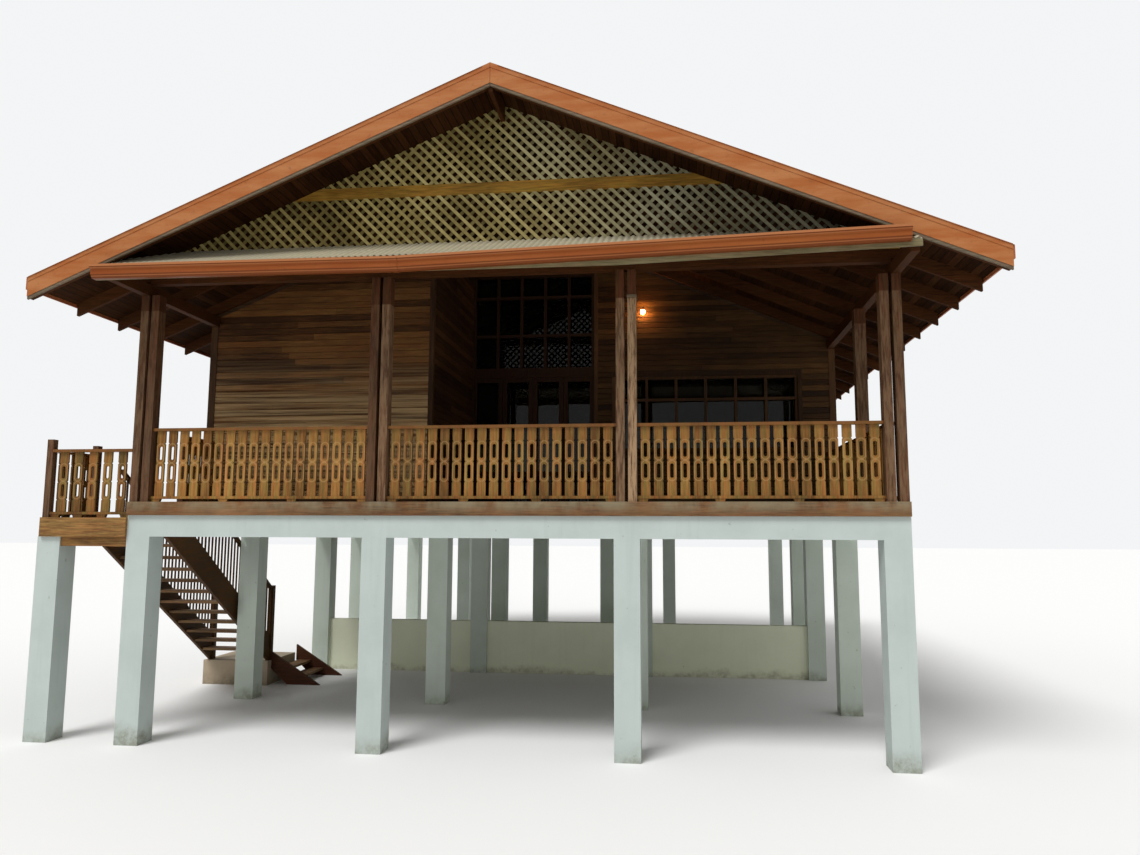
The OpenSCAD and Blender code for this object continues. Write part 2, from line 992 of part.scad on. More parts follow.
module gutters() {
    color(TERRACOTTA) house()
        both_gables() gutter();
}

// Boards across the gables: the sill behind the pent roof and the middle board
module gable_board(z0, z1) {
    upright(-gable_t, 0)
        polygon([
            [-min(under_reach(z0), half_w), z0], [min(under_reach(z0), half_w), z0],
            [under_reach(z1), z1], [-under_reach(z1), z1]
        ]);
}

module gable_boards() {
    color(OLIVE_TIMBER) house() {
        both_gables() gable_board(sill_z, lattice_z);
        gable_board(mid_board_z, mid_board_z + mid_board_h);
    }
}

// Strips at 45 degrees over a whole gable, leaning to one side
module strips(lean) {
    reach = 5200;
    count = ceil(reach * 1.5 / strip_pitch);
    for (i = [-count:count])
        rotate(lean * 45)
            translate([i * strip_pitch - strip_w / 2, -reach])
                square([strip_w, 2 * reach]);
}

// A lattice panel that fills an outline: two layers of crossed strips and a border
module lattice_panel(points, center) {
    for (layer = [0, 1])
        upright(-gable_t + layer * (lattice_t - 2), -gable_t + lattice_t + layer * (lattice_t - 2))
            intersection() {
                polygon(points);
                translate(center)
                    strips(layer == 0 ? 1 : -1);
            }
}

function lower_tier(side) = [
    [0, lattice_z], [side * under_reach(lattice_z), lattice_z],
    [side * under_reach(mid_board_z), mid_board_z], [0, mid_board_z]
];

function upper_tier() = [
    [-under_reach(mid_board_z + mid_board_h), mid_board_z + mid_board_h],
    [under_reach(mid_board_z + mid_board_h), mid_board_z + mid_board_h],
    [0, deck_under(0)]
];

module lattice_lower_left() {
    color(OLIVE_TIMBER) house() lattice_panel(lower_tier(-1), [0, lattice_centre_z]);
}

module lattice_lower_right() {
    color(OLIVE_TIMBER) house() lattice_panel(lower_tier(1), [0, lattice_centre_z]);
}

module lattice_upper() {
    color(OLIVE_TIMBER) house() lattice_panel(upper_tier(), [0, lattice_centre_z]);
}

// Bare bulb in a small holder on the recessed wall
module wall_lamp() {
    color("orange") house()
        translate([lamp_x, recess_y, floor_z + lamp_up]) {
            rotate([90, 0, 0])
                cylinder(d = 90, h = 25, $fn = 32);
            translate([0, -25, 0])
                rotate([90, 0, 0])
                    cylinder(d = 40, h = 45, $fn = 24);
            translate([0, -100, 0])
                sphere(d = 75, $fn = 32);
        }
}

posts_row_1();
posts_row_2();
posts_row_3();
posts_rear();
landing_post();
cross_beams();
long_beams();
low_wall();
lower_landing();
floor_joists();
deck_floor();
deck_edge_boards();
landing_deck();
landing_edge();
stair_stringers();
stair_treads();
stair_railing_left();
stair_railing_right();
short_flight_stringers();
short_flight_treads();
railing_front_left();
railing_front_middle();
railing_front_right();
railing_sides();
landing_railing();
veranda_posts();
side_posts();
side_plates();
front_beam();
front_wall();
recess_side_wall();
recess_wall();
left_wall();
right_wall();
rear_wall();
door_leaves();
glazing_frame();
window_frames();
window_glass();
rafters_left();
rafters_right();
ridge_board();
roof_left();
roof_right();
ridge_cap();
bargeboards();
eave_fascias();
pent_roofs();
gutter_boards();
gutters();
gable_boards();
lattice_lower_left();
lattice_lower_right();
lattice_upper();
wall_lamp();
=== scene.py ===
"""Dresses the stilt house: boards, roof sheets, trims, materials, light and camera."""

import math
import random

import bmesh
import bpy
from mathutils import Matrix, Vector

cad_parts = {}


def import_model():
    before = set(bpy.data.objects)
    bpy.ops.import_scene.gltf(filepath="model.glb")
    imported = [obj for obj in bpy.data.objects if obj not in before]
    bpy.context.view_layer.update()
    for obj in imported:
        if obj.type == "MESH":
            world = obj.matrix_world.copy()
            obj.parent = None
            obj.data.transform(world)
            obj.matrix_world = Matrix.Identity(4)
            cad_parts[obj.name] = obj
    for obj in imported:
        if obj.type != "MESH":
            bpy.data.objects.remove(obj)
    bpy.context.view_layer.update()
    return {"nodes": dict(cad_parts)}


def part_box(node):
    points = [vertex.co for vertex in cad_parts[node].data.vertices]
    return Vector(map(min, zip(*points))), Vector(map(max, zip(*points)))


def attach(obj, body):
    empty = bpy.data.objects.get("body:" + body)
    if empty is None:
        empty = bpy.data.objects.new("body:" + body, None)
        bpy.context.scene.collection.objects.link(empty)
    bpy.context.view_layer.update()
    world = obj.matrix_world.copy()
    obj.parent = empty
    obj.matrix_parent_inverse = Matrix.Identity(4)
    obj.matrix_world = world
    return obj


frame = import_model()
nodes = frame["nodes"]
rng = random.Random(7)

# House coordinates start under the ridge, at the front posts and on the ground
post_low, post_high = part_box("posts_row_1")
HOUSE = Vector((round((post_low.x + post_high.x) / 2, 4), round(post_low.y, 4), 0.0))


class Box:
    """The extent of a CAD node in house coordinates, to a tenth of a millimetre."""

    def __init__(self, name):
        low, high = ([round(v, 4) for v in corner - HOUSE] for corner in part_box(name))
        self.x0, self.y0, self.z0 = low
        self.x1, self.y1, self.z1 = high


rear_wall, recess, plates = Box("rear_wall"), Box("recess_wall"), Box("side_plates")
glazing, windows = Box("glazing_frame"), Box("window_frames")
roof_ends, pent = Box("bargeboards"), Box("pent_roofs")

HALF_W = rear_wall.x1
HOUSE_LEN = rear_wall.y1
WALL_T = rear_wall.y1 - rear_wall.y0
FLOOR_Z = Box("deck_floor").z1
PLATE_Z, PLATE_TOP = plates.z0, plates.z1
ROOF_PITCH = math.radians(22.9)
SLOPE = math.tan(ROOF_PITCH)
COS_ROOF = math.cos(ROOF_PITCH)
RAFTER_V, DECK_V, BARGE_V = (depth / COS_ROOF for depth in (0.150, 0.100, 0.218))
ROOF_HALF = roof_ends.x1
FRONT_EDGE, REAR_EDGE = roof_ends.y0, roof_ends.y1
FRONT_WALL_Y = Box("front_wall").y0
RECESS_X, RECESS_Y = recess.x0, recess.y0
WINDOW_SILL, WINDOW_HEAD = windows.z0, windows.z1
SIDE_WINDOWS = [(6.20, 7.76), (9.20, 10.76)]
REAR_WINDOWS = [(-3.90, -0.84), (0.84, 3.90)]
FRONT_WINDOW = (1.15, 4.21)
LATTICE_PITCH, LATTICE_LAYER, STRIPS_APART = 0.097, 0.0302, 500.0
LATTICE_CENTRE = Box("lattice_lower_left").z1
BAY, PAIR_HALF = 3.1, 0.125
PAIR_OUT = Box("veranda_posts").x1 - PAIR_HALF
PAIR_X = (-PAIR_OUT, -BAY / 2, BAY / 2, PAIR_OUT)
BAY_X = (-BAY, 0.0, BAY)
RIB_PITCH, SHEET_EDGE = 0.0762, 0.015
SHEET_START, PENT_HALF = FRONT_EDGE - SHEET_EDGE, HALF_W - SHEET_EDGE
BOARD_H, BOARD_T, GROOVE = 0.095, 0.012, 0.006


def rafter_under(x):
    return PLATE_TOP + SLOPE * (HALF_W - abs(x))


def deck_over(x):
    return rafter_under(x) + RAFTER_V + DECK_V


# Mesh tools
def add_object(name, data):
    obj = bpy.data.objects.new(name, data)
    bpy.context.scene.collection.objects.link(obj)
    return obj


class Pieces:
    """Collects solids, each with a tone of its own, into one object."""

    def __init__(self, name, slot, material):
        self.name, self.slot, self.material = name, slot, material
        self.verts, self.faces, self.tones = [], [], []

    def add(self, verts, faces):
        base = len(self.verts)
        self.verts += [Vector(v) + HOUSE for v in verts]
        self.faces += [[base + i for i in f] for f in faces]
        self.tones += [rng.random()] * len(faces)

    def prism(self, outline, to_point, a, b):
        """An outline of (u, v) pairs, drawn from depth a to depth b."""
        n = len(outline)
        verts = [to_point(u, v, a) for u, v in outline] + [to_point(u, v, b) for u, v in outline]
        faces = [list(range(n))[::-1], list(range(n, 2 * n))]
        faces += [[i, (i + 1) % n, n + (i + 1) % n, n + i] for i in range(n)]
        self.add(verts, faces)

    def block(self, x0, x1, y0, y1, z0, z1):
        self.prism([(x0, y0), (x1, y0), (x1, y1), (x0, y1)], lambda u, v, w: (u, v, w), z0, z1)

    def make(self, smooth=False, bevel=0.0):
        mesh = bpy.data.meshes.new(self.name)
        mesh.from_pydata(self.verts, [], self.faces)
        tone = mesh.attributes.new("tone", "FLOAT", "FACE")
        tone.data.foreach_set("value", self.tones)
        mesh.materials.append(self.material)
        mesh.update()
        obj = add_object(self.name, mesh)
        fix_normals(mesh)
        if smooth:
            mesh.shade_smooth()
        if bevel:
            soften(obj, bevel)
        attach(obj, "root")


def fix_normals(mesh):
    bm = bmesh.new()
    bm.from_mesh(mesh)
    bmesh.ops.recalc_face_normals(bm, faces=bm.faces)
    bm.to_mesh(mesh)
    bm.free()


def soften(obj, width, segments=1):
    bevel = obj.modifiers.new("edge", "BEVEL")
    bevel.width = width
    bevel.segments = segments
    bevel.limit_method = "ANGLE"
    bevel.angle_limit = math.radians(40)


# Material tools
class Nodes:
    """Short calls for a node tree."""

    def __init__(self, name):
        self.mat = bpy.data.materials.new(name)
        self.mat.use_nodes = True
        self.tree = self.mat.node_tree
        self.tree.nodes.clear()
        self.bsdf = self.new("ShaderNodeBsdfPrincipled")
        self.link(self.bsdf.outputs[0], self.new("ShaderNodeOutputMaterial").inputs[0])
        self.coord = self.new("ShaderNodeTexCoord").outputs["Object"]

    def new(self, kind, **values):
        node = self.tree.nodes.new(kind)
        for key, value in values.items():
            setattr(node, key, value)
        return node

    def link(self, a, b):
        self.tree.links.new(a, b)

    def put(self, socket, value):
        if hasattr(value, "is_output"):
            self.link(value, socket)
        else:
            socket.default_value = value

    def math(self, operation, *values, clamp=False):
        node = self.new("ShaderNodeMath", operation=operation, use_clamp=clamp)
        for socket, value in zip(node.inputs, values):
            self.put(socket, value)
        return node.outputs[0]

    def plus(self, a, b):
        return self.math("ADD", a, b)

    def minus(self, a, b):
        return self.math("SUBTRACT", a, b)

    def times(self, a, b):
        return self.math("MULTIPLY", a, b)

    def off(self, value, middle):
        """How far value is from middle, either way."""
        return self.math("ABSOLUTE", self.minus(value, middle))

    def piece_tone(self):
        """The tone of each solid that Pieces made, from -0.5 to 0.5."""
        attribute = self.new("ShaderNodeAttribute", attribute_name="tone")
        return self.minus(attribute.outputs["Fac"], 0.5)

    def axis(self, which):
        node = self.new("ShaderNodeSeparateXYZ")
        self.link(self.coord, node.inputs[0])
        return node.outputs["XYZ".index(which)]

    def stretched(self, scale):
        node = self.new("ShaderNodeMapping")
        node.inputs["Scale"].default_value = scale
        self.link(self.coord, node.inputs["Vector"])
        return node.outputs[0]

    def noise(self, vector, scale, detail, rough):
        node = self.new("ShaderNodeTexNoise")
        self.link(vector, node.inputs["Vector"])
        node.inputs["Scale"].default_value = scale
        node.inputs["Detail"].default_value = detail
        node.inputs["Roughness"].default_value = rough
        return node.outputs["Fac"]

    def spread(self, value, low, high, a=0.0, b=1.0):
        """A smooth step from a to b, as value goes from low to high."""
        node = self.new("ShaderNodeMapRange", interpolation_type="SMOOTHSTEP")
        self.link(value, node.inputs["Value"])
        for key, number in (("From Min", low), ("From Max", high), ("To Min", a), ("To Max", b)):
            node.inputs[key].default_value = number
        return node.outputs[0]

    def ramp(self, fac, stops):
        node = self.new("ShaderNodeValToRGB")
        elements = node.color_ramp.elements
        while len(elements) < len(stops):
            elements.new(0.5)
        for element, (place, colour) in zip(elements, stops):
            element.position = place
            element.color = (*colour, 1.0)
        self.link(fac, node.inputs[0])
        return node.outputs[0]

    def mix(self, fac, a, b, blend="MIX"):
        node = self.new("ShaderNodeMix", data_type="RGBA", blend_type=blend)
        self.put(node.inputs[0], fac)
        for socket, value in ((node.inputs[6], a), (node.inputs[7], b)):
            self.put(socket, value if hasattr(value, "is_output") else (*value, 1.0))
        return node.outputs[2]

    def between(self, fac, a, b):
        node = self.new("ShaderNodeMix", data_type="FLOAT")
        for socket, value in zip(node.inputs[0:1] + node.inputs[2:4], (fac, a, b)):
            self.put(socket, value)
        return node.outputs[0]

    def random_of(self, value):
        node = self.new("ShaderNodeTexWhiteNoise", noise_dimensions="1D")
        self.link(value, node.inputs["W"])
        return node.outputs["Value"]

    def bump(self, height, distance, strength):
        node = self.new("ShaderNodeBump")
        node.inputs["Strength"].default_value = strength
        node.inputs["Distance"].default_value = distance
        self.link(height, node.inputs["Height"])
        self.link(node.outputs[0], self.bsdf.inputs["Normal"])

    def finish(self, colour, rough, specular):
        self.put(self.bsdf.inputs["Base Color"], colour)
        self.put(self.bsdf.inputs["Roughness"], rough)
        self.bsdf.inputs["Specular IOR Level"].default_value = specular
        return self.mat


# The carved loops take up this stretch of a railing board's height
CARVED_SHARES = (0.236, 0.814)
CARVING_REACH, CARVING_CUT, CARVING_LINE = 0.046, 0.034, 0.006
# The front gutter is lowest at its joint (x, z) and rises by these slopes to the left and right
GUTTER_JOINT, GUTTER_FALL = (-1.05, 5.612), (0.00733, 0.02776)
RAIL_FOOT, HANDRAIL, RAIL_END, RAIL_GAP, LANDING_GAP = 0.042, 0.032, 0.0875, 0.045, 0.090
SIDE_POST, BULB_REACH = 0.15, 0.07
GRAIN = {"X": (1.1, 16.0, 16.0), "Y": (16.0, 1.1, 16.0), "Z": (16.0, 16.0, 1.1)}
OLIVE_SHIFT, RED_SHIFT = (0.82, 1.09, 1.06), (1.18, 0.88, 0.85)


def wood(name, dark, mid, light, along, board=None, tone=0.0, rough=(0.5, 0.75), patch=0.25,
         joint=None, pale_band=None, carving=None, next_board=None, spread=0.2, sheen=0.15,
         bleach=None, cap=None, hue=0.35):
    """Timber with grain along an axis.

    board is (axis, pitch, start): each stretch of pitch gets a tone and a dark joint.
    next_board is the (pitch, start) of a second panel on the same axis.
    carving is (low, high): the heights between which two loops with cut corners are drawn on a
    board as light lines, painted highlights on their chamfered edges.
    tone and spread say how much the tones of single boards differ.
    pale_band is (colour, low z, high z, amount, stretch): a patchy paler layer between two heights.
    bleach is (edges, shares, colour, top): how grey each post is, left to right, up to top.
    cap is (colour, z): a darker finish above a height.
    hue says how far the colour wanders between olive and red.
    """
    n = Nodes(name)
    grain = n.noise(n.stretched(GRAIN[along]), 3.2, 7.0, 0.62)
    fine = n.noise(n.stretched(tuple(v * 3 for v in GRAIN[along])), 4.0, 4.0, 0.6)
    broad = n.noise(n.coord, 0.9, 3.0, 0.5)
    fac = n.math("MULTIPLY_ADD", grain, 0.62, -0.05)
    fac = n.plus(fac, n.times(fine, 0.22))
    fac = n.plus(fac, n.times(n.minus(broad, 0.5), patch * 1.6))
    height = grain
    if tone:
        fac = n.plus(fac, n.times(n.piece_tone(), tone))
    line = None
    if board:
        axis, pitch, start = board
        place = n.math("DIVIDE", n.minus(n.axis(axis), start), pitch)
        if next_board:
            after = n.math("DIVIDE", n.minus(n.axis(axis), next_board[1]), next_board[0])
            beyond = n.math("GREATER_THAN", n.axis(axis), next_board[1])
            place = n.between(beyond, place, after)
        value = n.minus(n.random_of(n.math("FLOOR", place)), 0.5)
        fac = n.plus(fac, n.times(value, spread))
        if joint:
            share = n.off(n.math("FRACT", place), 0.5)
            line = n.spread(share, 0.5 - joint / pitch, 0.5 - 0.2 * joint / pitch)
    colour = n.ramp(fac, [(0.22, dark), (0.5, mid), (0.82, light)])
    streaks = n.noise(n.stretched(tuple(v * 0.4 for v in GRAIN[along])), 3.0, 6.0, 0.75)
    shift = n.mix(n.spread(streaks, 0.36, 0.64), OLIVE_SHIFT, RED_SHIFT)
    colour = n.mix(hue, colour, shift, "MULTIPLY")
    # Light lines round the slots: painted highlights on the chamfered edges of the carving
    if carving:
        highlight_line = carved_line(n, place, pitch, *carving)
        chamfer_highlight = (light[0], 1.05 * light[1], 1.5 * light[2])
        colour = n.mix(n.times(highlight_line, 0.45), colour, chamfer_highlight)
    if line is not None:
        colour = n.mix(n.times(line, 0.75), colour, tuple(0.25 * c for c in dark))
        height = n.minus(n.times(grain, 0.15), line)
    # A patchy paler layer between two heights: on the walls, dusty boards and painted daylight
    # towards the floor
    if pale_band:
        grey, low, high, amount, stretch = pale_band
        patchy = n.spread(n.noise(n.stretched(stretch), 1.6, 4.0, 0.6), 0.32, 0.66)
        band = n.spread(n.axis("Z"), low, high)
        mask = n.times(n.times(patchy, band), amount)
        colour = n.mix(mask, colour, grey)
    if bleach:
        colour = bleached(n, colour, *bleach)
    if cap:
        above = n.math("GREATER_THAN", n.axis("Z"), cap[1])
        colour = n.mix(n.times(above, n.spread(grain, 0.3, 0.7, 0.5, 0.8)), colour, cap[0])
    n.bump(height, 0.004 if line is not None else 0.0015, 0.6)
    return n.finish(colour, n.spread(grain, 0.3, 0.7, *rough), specular=sheen)


def bleached(n, colour, edges, shares, grey, top):
    """Greys each post by its own share, in runs along the grain, up to the height top."""
    share = shares[0]
    for edge, a, b in zip(edges, shares, shares[1:]):
        right = n.math("GREATER_THAN", n.axis("X"), edge + HOUSE.x)
        share = n.plus(n.times(right, b - a), share)
    runs = n.spread(n.noise(n.stretched((14.0, 14.0, 1.6)), 2.2, 6.0, 0.7), 0.36, 0.60, 0.2, 1.3)
    below = n.spread(n.axis("Z"), top, top - 0.02)
    return n.mix(n.math("MULTIPLY", n.times(share, runs), below, clamp=True), colour, grey)


def carved_line(n, place, pitch, low, high):
    """Two loops with cut corners on each board, one above the other, between the notches."""
    half = (high - low) / 4
    turn = n.math("FRACT", n.math("DIVIDE", n.minus(n.axis("Z"), low), 2 * half))
    rise = n.times(n.off(turn, 0.5), 2 * half)
    across = n.times(n.off(n.math("FRACT", place), 0.5), pitch)
    corner = n.minus(n.plus(across, rise), CARVING_REACH + half - CARVING_CUT)
    edge = n.math("MAXIMUM", n.minus(across, CARVING_REACH), n.times(corner, math.sqrt(0.5)))
    edge = n.math("MAXIMUM", edge, n.minus(rise, half - CARVING_LINE))
    z = n.axis("Z")
    inside = n.times(n.math("GREATER_THAN", z, low), n.math("LESS_THAN", z, high))
    line = n.spread(n.math("ABSOLUTE", edge), CARVING_LINE, 0.0025)
    return n.times(line, inside)


def plaster(name, colour, shade, dirt, dirt_top):
    """Painted concrete, clouded and streaked, with dirt up to about dirt_top over the ground."""
    n = Nodes(name)
    cloud = n.noise(n.coord, 1.7, 5.0, 0.6)
    fine = n.noise(n.coord, 38.0, 5.0, 0.6)
    runs = n.noise(n.stretched((9.0, 9.0, 0.5)), 1.3, 4.0, 0.6)
    base = n.mix(n.spread(cloud, 0.35, 0.75, 0.0, 0.55), colour, shade)
    base = n.mix(n.spread(runs, 0.52, 0.74, 0.0, 0.35), base, shade)
    ragged = n.plus(n.axis("Z"), n.times(n.minus(cloud, 0.5), 0.5))
    foot = n.spread(ragged, dirt_top, 0.0)
    foot = n.times(foot, n.spread(n.noise(n.coord, 9.0, 5.0, 0.7), 0.3, 0.7, 0.25, 1.0))
    base = n.mix(n.times(foot, 0.75), base, dirt)
    specks = n.spread(n.noise(n.coord, 14.0, 2.0, 0.5), 0.72, 0.78, 0.0, 0.35)
    base = n.mix(specks, base, dirt)
    n.bump(fine, 0.0015, 0.5)
    return n.finish(base, n.spread(fine, 0.3, 0.7, 0.65, 0.85), specular=0.25)


def sheet_metal(name, colour, faded, stain_and_shade, tone=0.4, rough=(0.45, 0.65), stretch=(0.6, 3.0, 3.0),
                sheen=0.2, ribs=None, folds=()):
    """Painted sheet, with painted shade in the troughs of its ribs and painted shade and highlights
    on gutter folds.

    ribs is (axis, start). folds lists (height, half width, amount, colour) of painted shade lines
    and painted highlight lines on a gutter.
    """
    n = Nodes(name)
    cloud = n.noise(n.stretched(stretch), 1.4, 6.0, 0.62)
    spots = n.noise(n.coord, 11.0, 5.0, 0.7)
    fac = n.spread(cloud, 0.3, 0.72)
    if tone:
        fac = n.plus(fac, n.times(n.piece_tone(), tone))
    base = n.mix(n.math("MINIMUM", n.math("MAXIMUM", fac, 0.0), 1.0), colour, faded)
    base = n.mix(n.times(n.spread(spots, 0.55, 0.8), 0.5), base, stain_and_shade)
    # Darker troughs between the ribs: painted shade of the corrugations
    if ribs:
        turn = n.math("DIVIDE", n.minus(n.axis(ribs[0]), ribs[1]), RIB_PITCH)
        wave = n.math("COSINE", n.times(turn, 2 * math.pi))
        base = n.mix(n.spread(wave, -0.3, 1.0, 0.0, 0.4), base, stain_and_shade)
    # Dark and light lines along a gutter's folds and a darker foot: painted shade and painted
    # highlights of its profile
    if folds:
        along = n.minus(n.axis("X"), HOUSE.x + GUTTER_JOINT[0])
        left, right = n.times(along, -GUTTER_FALL[0]), n.times(along, GUTTER_FALL[1])
        up = n.minus(n.axis("Z"), n.plus(n.math("MAXIMUM", left, right), GUTTER_JOINT[1]))
        for middle, half, amount, tint in folds:
            fold = n.spread(n.off(up, middle), half, half - 0.003, 0.0, amount)
            base = n.mix(fold, base, tint)
    n.bump(spots, 0.0012, 0.35)
    return n.finish(base, n.spread(cloud, 0.3, 0.7, *rough), specular=sheen)


def lattice_wood():
    """Crossed strips at 45 degrees: those of the front layer are lighter than those behind."""
    n = Nodes("lattice_timber")
    grain = n.noise(n.stretched((9.0, 9.0, 9.0)), 3.0, 5.0, 0.6)
    front = n.math("LESS_THAN", n.axis("Y"), HOUSE.y - LATTICE_LAYER)
    x = n.minus(n.axis("X"), HOUSE.x)
    z = n.minus(n.axis("Z"), LATTICE_CENTRE)
    sides = n.between(front, n.minus(x, z), n.plus(x, z))
    number = n.math("FLOOR", n.math("MULTIPLY_ADD", sides, math.sqrt(0.5) / LATTICE_PITCH, 0.5))
    strip = n.random_of(n.plus(number, n.times(front, STRIPS_APART)))
    broad = n.noise(n.coord, 0.8, 3.0, 0.55)
    fac = n.times(grain, 0.35)
    fac = n.plus(fac, n.times(strip, 0.30))
    fac = n.plus(fac, n.times(n.minus(broad, 0.5), 0.9))
    fac = n.plus(fac, n.times(front, 0.22))
    olive, grey = (
        n.ramp(fac, list(zip((0.15, 0.5, 0.85), tones)))
        for tones in (
            ((0.090, 0.068, 0.020), (0.30, 0.235, 0.078), (0.60, 0.50, 0.205)),
            ((0.053, 0.046, 0.027), (0.185, 0.17, 0.105), (0.40, 0.385, 0.255)),
        )
    )
    side = n.plus(x, n.times(n.minus(broad, 0.5), 4.0))
    n.bump(grain, 0.001, 0.4)
    return n.finish(n.mix(n.spread(side, -1.5, 3.5), olive, grey), 0.7, specular=0.15)


def glass():
    n = Nodes("window_glass")
    n.bsdf.inputs["Transmission Weight"].default_value = 0.95
    n.bsdf.inputs["IOR"].default_value = 1.33
    return n.finish((0.08, 0.09, 0.08, 1.0), 0.0, specular=0.22)


def lamp(bulb_y):
    """A warm bulb in a dull brass holder: the bulb is what stands in front of bulb_y."""
    n = Nodes("lamp")
    fac = n.spread(n.axis("Y"), bulb_y, bulb_y - 0.01)
    chamfer_highlight = n.noise(n.coord, 60.0, 3.0, 0.6)
    n.link(n.mix(fac, (0.0, 0.0, 0.0), (1.0, 0.45, 0.12)), n.bsdf.inputs["Emission Color"])
    n.bsdf.inputs["Emission Strength"].default_value = 260.0
    base = n.mix(fac, n.mix(chamfer_highlight, (0.10, 0.07, 0.03), (0.2, 0.14, 0.07)), (1.0, 0.8, 0.5))
    return n.finish(base, 0.35, specular=0.4)


# Materials
WHITE = plaster("white_paint", (0.49, 0.55, 0.525), (0.41, 0.465, 0.435), (0.17, 0.165, 0.10), 0.26)
# A brighter copy of the white paint for the posts under the house: painted light from the ground's
# bounce
WHITE_PAINTED_BOUNCE = plaster(
    "white_paint_painted_bounce", (0.60, 0.67, 0.59), (0.50, 0.56, 0.47), (0.20, 0.195, 0.12), 0.2
)
# The low wall is white paint like the posts: its brighter, yellower colour is painted light from
# the ground's bounce
LOW_WALL_PAINTED_BOUNCE = plaster("low_wall_white_painted_bounce", (0.86, 0.89, 0.68), (0.77, 0.80, 0.60), (0.34, 0.32, 0.21), 0.14)
CEMENT = plaster("tan_cement", (0.42, 0.34, 0.24), (0.30, 0.24, 0.17), (0.14, 0.12, 0.08), 0.25)
WALL_TONES = ((0.030, 0.0115, 0.0032), (0.105, 0.046, 0.0135), (0.22, 0.112, 0.038))
# The walls grow paler towards the floor: dusty boards and painted daylight that reaches under the
# eaves
DUST_AND_DAYLIGHT_RUNS = (0.36, 0.36, 19.0)
WALL_DUST_AND_DAYLIGHT = ((0.24, 0.16, 0.085), 5.2, 3.3, 0.6, DUST_AND_DAYLIGHT_RUNS)
WALL = wood("wall_boards", *WALL_TONES, "X", tone=0.3, pale_band=WALL_DUST_AND_DAYLIGHT)
# The front wall's boards grow paler towards the floor: dusty boards and painted daylight
FRONT_WALL = wood(
    "front_wall_boards", (0.042, 0.015, 0.004), (0.15, 0.061, 0.016), (0.31, 0.155, 0.048), "X",
    tone=0.32, pale_band=((0.74, 0.50, 0.245), 5.4, 3.7, 1.0, DUST_AND_DAYLIGHT_RUNS),
)
WALL_SIDE = wood("wall_boards_side", *WALL_TONES, "Y", tone=0.3, pale_band=WALL_DUST_AND_DAYLIGHT)
# A darker copy of the wall boards for the recess's side wall: painted shade deep in the veranda
RECESS_SIDE_SHADED_BOARDS = wood(
    "recess_side_boards_painted_shade", (0.018, 0.007, 0.003), (0.062, 0.027, 0.009), (0.13, 0.066, 0.024), "Y",
    tone=0.3,
)
# A darker copy of the wall boards for the recess: painted shade deep in the veranda, paler towards
# the floor with dusty boards and painted daylight
RECESS_SHADED_BOARDS = wood(
    "recess_boards_painted_shade", (0.022, 0.009, 0.003), (0.080, 0.036, 0.010), (0.17, 0.09, 0.028), "X",
    tone=0.3, pale_band=((0.20, 0.14, 0.06), 4.6, 3.2, 0.4, DUST_AND_DAYLIGHT_RUNS),
)
WALL_CORE = wood(
    "wall_inner_boards", (0.03, 0.015, 0.008), (0.08, 0.042, 0.02), (0.16, 0.09, 0.045), "X",
    board=("Z", BOARD_H, FLOOR_Z), joint=GROOVE,
)
TRIM = wood(
    "trim_timber", (0.03, 0.013, 0.005), (0.095, 0.044, 0.016), (0.19, 0.10, 0.04), "Z", tone=0.3
)
FRAME = wood(
    "window_timber", (0.036, 0.016, 0.006), (0.10, 0.046, 0.016), (0.19, 0.093, 0.036), "Z"
)
DARK_FRAME = wood(
    "glazing_timber", (0.02, 0.007, 0.0025), (0.05, 0.02, 0.007), (0.10, 0.045, 0.016), "Z"
)
POST_EDGES = sorted(PAIR_X + BAY_X)
POST_SHARES = (0.20, 0.14, 0.12, 0.36, 0.40, 0.85, 0.28, 0.24)
POST = wood(
    "post_timber", (0.030, 0.010, 0.004), (0.105, 0.040, 0.014), (0.22, 0.105, 0.045), "Z",
    bleach=(POST_EDGES, POST_SHARES, (0.355, 0.225, 0.125), 5.50), hue=0.8,
)
RAIL_TONES = ((0.105, 0.047, 0.010), (0.29, 0.144, 0.034), (0.485, 0.284, 0.088))
STAIR = wood(
    "stair_timber", (0.030, 0.014, 0.004), (0.098, 0.043, 0.011), (0.20, 0.104, 0.030), "Y"
)
# The treads are lighter than the stringers: painted light on their tops
TREAD_LIT = wood(
    "tread_timber_painted_light", (0.10, 0.056, 0.026), (0.25, 0.145, 0.072), (0.46, 0.31, 0.17), "X",
    board=("Y", 0.265, -0.2),
)
FLIGHT = wood(
    "flight_timber", (0.034, 0.011, 0.005), (0.095, 0.034, 0.015), (0.17, 0.07, 0.034), "X"
)
EDGE = wood(
    "deck_edge_timber", (0.075, 0.034, 0.015), (0.215, 0.105, 0.042), (0.37, 0.235, 0.115), "X",
    pale_band=((0.25, 0.22, 0.14), FLOOR_Z - 0.18, FLOOR_Z - 0.02, 0.7, (2.0, 2.0, 1.2)),
)
LANDING = wood(
    "landing_timber", (0.137, 0.065, 0.021), (0.42, 0.225, 0.072), (0.68, 0.44, 0.155), "X"
)
DECK = wood(
    "deck_boards", (0.05, 0.025, 0.012), (0.14, 0.075, 0.038), (0.27, 0.17, 0.09), "X",
    board=("Y", 0.12, 0.0), joint=0.006,
)
JOIST = wood("joist_timber", (0.02, 0.012, 0.007), (0.055, 0.032, 0.018), (0.11, 0.07, 0.04), "X")
RAFTER = wood(
    "rafter_timber", (0.025, 0.0085, 0.003), (0.078, 0.027, 0.008), (0.155, 0.062, 0.018), "X",
    rough=(0.65, 0.85), sheen=0.06,
)
